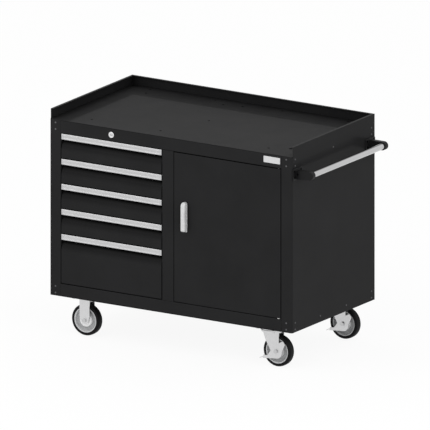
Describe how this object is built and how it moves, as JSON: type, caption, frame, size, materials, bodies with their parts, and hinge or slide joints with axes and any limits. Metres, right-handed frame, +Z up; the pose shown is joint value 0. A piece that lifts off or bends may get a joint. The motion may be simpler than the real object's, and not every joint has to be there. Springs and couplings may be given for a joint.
{
  "type": "tool cabinet",
  "caption": "Rolling sheet-metal tool cabinet with stacked drawers, a door compartment, a rimmed worktop, a side push bar and braked swivel casters.",
  "frame": {"origin": "middle of the bounding box's bottom face, on the floor under the casters", "axes": "+X along the width from the drawers to the push bar, +Y from the front to the back, +Z up"},
  "size_m": [1.1796, 0.62, 0.895],
  "materials": {
    "body_paint": "semi-gloss black powder coat",
    "worktop_paint": "semi-gloss black powder coat",
    "shelf_paint": "semi-gloss black powder coat",
    "drawer_paint": "semi-gloss black powder coat",
    "door_paint": "semi-gloss black powder coat",
    "handle_aluminium": "satin anodised",
    "runner_zinc": "zinc plated",
    "bracket_black": "moulded, fine texture",
    "bar_steel": "satin tube",
    "plate_aluminium": "bright anodised, bare",
    "lock_chrome": "bright",
    "plug_steel": "machined",
    "latch_zinc": "zinc plated",
    "hinge_zinc": "zinc plated, with a white collar",
    "lever_silver": "satin silver die casting",
    "rivet_black": "dark grey",
    "screw_black": "black",
    "caster_zinc": "zinc plated",
    "pedal_zinc": "zinc plated",
    "bolt_zinc": "zinc plated",
    "rim_grey": "moulded grey",
    "tyre_black": "smooth rubber"
  },
  "bodies": {
    "cabinet": {"side_panel_left": "body_paint", "side_panel_right": "body_paint", "back_panel": "body_paint", "base_pan": "body_paint", "worktop": "worktop_paint", "top_rail": "body_paint", "bottom_rail": "body_paint", "centre_partition": "body_paint", "liner_left": "body_paint", "liner_right": "body_paint", "shelves": "shelf_paint", "shelf_clips": "shelf_paint", "cabinet_runners": "runner_zinc", "push_bar_brackets": "bracket_black", "push_bar": "bar_steel", "blank_plate": "plate_aluminium", "lock_housing": "lock_chrome", "hinge_pins": "hinge_zinc", "panel_rivets": "rivet_black", "worktop_screws": "screw_black", "caster_bolts": "bolt_zinc", "fixed_forks": "caster_zinc", "fixed_axles": "bolt_zinc", "swivel_plates": "caster_zinc"},
    "drawer_1": {"drawer_1_box": "drawer_paint", "drawer_1_handle": "handle_aluminium"},
    "carriage_1": {"runner_carriage_1": "runner_zinc"},
    "drawer_2": {"drawer_2_box": "drawer_paint", "drawer_2_handle": "handle_aluminium"},
    "carriage_2": {"runner_carriage_2": "runner_zinc"},
    "drawer_3": {"drawer_3_box": "drawer_paint", "drawer_3_handle": "handle_aluminium"},
    "carriage_3": {"runner_carriage_3": "runner_zinc"},
    "drawer_4": {"drawer_4_box": "drawer_paint", "drawer_4_handle": "handle_aluminium"},
    "carriage_4": {"runner_carriage_4": "runner_zinc"},
    "drawer_5": {"drawer_5_box": "drawer_paint", "drawer_5_handle": "handle_aluminium"},
    "carriage_5": {"runner_carriage_5": "runner_zinc"},
    "lock_plug": {"lock_plug": "plug_steel"},
    "lock_bar": {"lock_bar": "latch_zinc"},
    "door": {"door_skin": "door_paint", "door_liner": "door_paint", "handle_escutcheon": "lever_silver"},
    "door_handle": {"handle_lever": "lever_silver", "latch_tongue": "latch_zinc"},
    "swivel_front": {"swivel_fork_front": "caster_zinc", "swivel_axle_front": "bolt_zinc"},
    "brake_front": {"brake_pedal_front": "pedal_zinc"},
    "wheel_front_left": {"rim_front_left": "rim_grey", "tyre_front_left": "tyre_black"},
    "wheel_front_right": {"rim_front_right": "rim_grey", "tyre_front_right": "tyre_black"},
    "swivel_rear": {"swivel_fork_rear": "caster_zinc", "swivel_axle_rear": "bolt_zinc"},
    "brake_rear": {"brake_pedal_rear": "pedal_zinc"},
    "wheel_rear_left": {"rim_rear_left": "rim_grey", "tyre_rear_left": "tyre_black"},
    "wheel_rear_right": {"rim_rear_right": "rim_grey", "tyre_rear_right": "tyre_black"}
  },
  "joints": [
    {"name": "drawer_1_slide", "type": "slide", "parent": "cabinet", "child": "drawer_1", "axis": [0, -1, 0], "range_m": [0, 0.48]},
    {"name": "carriage_1_slide", "type": "slide", "parent": "cabinet", "child": "carriage_1", "axis": [0, -1, 0], "range_m": [0, 0.24]},
    {"name": "drawer_2_slide", "type": "slide", "parent": "cabinet", "child": "drawer_2", "axis": [0, -1, 0], "range_m": [0, 0.48]},
    {"name": "carriage_2_slide", "type": "slide", "parent": "cabinet", "child": "carriage_2", "axis": [0, -1, 0], "range_m": [0, 0.24]},
    {"name": "drawer_3_slide", "type": "slide", "parent": "cabinet", "child": "drawer_3", "axis": [0, -1, 0], "range_m": [0, 0.48]},
    {"name": "carriage_3_slide", "type": "slide", "parent": "cabinet", "child": "carriage_3", "axis": [0, -1, 0], "range_m": [0, 0.24]},
    {"name": "drawer_4_slide", "type": "slide", "parent": "cabinet", "child": "drawer_4", "axis": [0, -1, 0], "range_m": [0, 0.48]},
    {"name": "carriage_4_slide", "type": "slide", "parent": "cabinet", "child": "carriage_4", "axis": [0, -1, 0], "range_m": [0, 0.24]},
    {"name": "drawer_5_slide", "type": "slide", "parent": "cabinet", "child": "drawer_5", "axis": [0, -1, 0], "range_m": [0, 0.48]},
    {"name": "carriage_5_slide", "type": "slide", "parent": "cabinet", "child": "carriage_5", "axis": [0, -1, 0], "range_m": [0, 0.24]},
    {"name": "lock_turn", "type": "hinge", "parent": "cabinet", "child": "lock_plug", "pos_m": [-0.30925, -0.29, 0.831], "axis": [0, 1, 0], "range_deg": [0, 90]},
    {"name": "lock_bar_lift", "type": "slide", "parent": "cabinet", "child": "lock_bar", "axis": [0, 0, 1], "range_m": [0, 0.008]},
    {"name": "door_swing", "type": "hinge", "parent": "cabinet", "child": "door", "pos_m": [0.44775, -0.284, 0.505], "axis": [0, 0, 1], "range_deg": [0, 120]},
    {"name": "door_handle_turn", "type": "hinge", "parent": "door", "child": "door_handle", "pos_m": [0.02525, -0.29, 0.594], "axis": [0, -1, 0], "range_deg": [0, 90]},
    {"name": "swivel_front_turn", "type": "hinge", "parent": "cabinet", "child": "swivel_front", "pos_m": [0.37875, -0.232, 0.14], "axis": [0, 0, 1], "continuous": true},
    {"name": "brake_front_tread", "type": "hinge", "parent": "swivel_front", "child": "brake_front", "pos_m": [0.41475, -0.232, 0.0625], "axis": [0, -1, 0], "range_deg": [0, 12]},
    {"name": "wheel_front_left_spin", "type": "hinge", "parent": "cabinet", "child": "wheel_front_left", "pos_m": [-0.45525, -0.232, 0.0625], "axis": [0, 1, 0], "continuous": true},
    {"name": "wheel_front_right_spin", "type": "hinge", "parent": "swivel_front", "child": "wheel_front_right", "pos_m": [0.41475, -0.232, 0.0625], "axis": [0, 1, 0], "continuous": true},
    {"name": "swivel_rear_turn", "type": "hinge", "parent": "cabinet", "child": "swivel_rear", "pos_m": [0.37875, 0.252, 0.14], "axis": [0, 0, 1], "continuous": true},
    {"name": "brake_rear_tread", "type": "hinge", "parent": "swivel_rear", "child": "brake_rear", "pos_m": [0.41475, 0.252, 0.0625], "axis": [0, -1, 0], "range_deg": [0, 12]},
    {"name": "wheel_rear_left_spin", "type": "hinge", "parent": "cabinet", "child": "wheel_rear_left", "pos_m": [-0.45525, 0.252, 0.0625], "axis": [0, 1, 0], "continuous": true},
    {"name": "wheel_rear_right_spin", "type": "hinge", "parent": "swivel_rear", "child": "wheel_rear_right", "pos_m": [0.41475, 0.252, 0.0625], "axis": [0, 1, 0], "continuous": true}
  ],
  "couplings": [
    {"joint": "carriage_1_slide", "follows": "drawer_1_slide", "ratio": 0.5},
    {"joint": "carriage_2_slide", "follows": "drawer_2_slide", "ratio": 0.5},
    {"joint": "carriage_3_slide", "follows": "drawer_3_slide", "ratio": 0.5},
    {"joint": "carriage_4_slide", "follows": "drawer_4_slide", "ratio": 0.5},
    {"joint": "carriage_5_slide", "follows": "drawer_5_slide", "ratio": 0.5},
    {"joint": "lock_turn", "follows": "lock_bar_lift", "rad_per_m": 196.34}
  ]
}
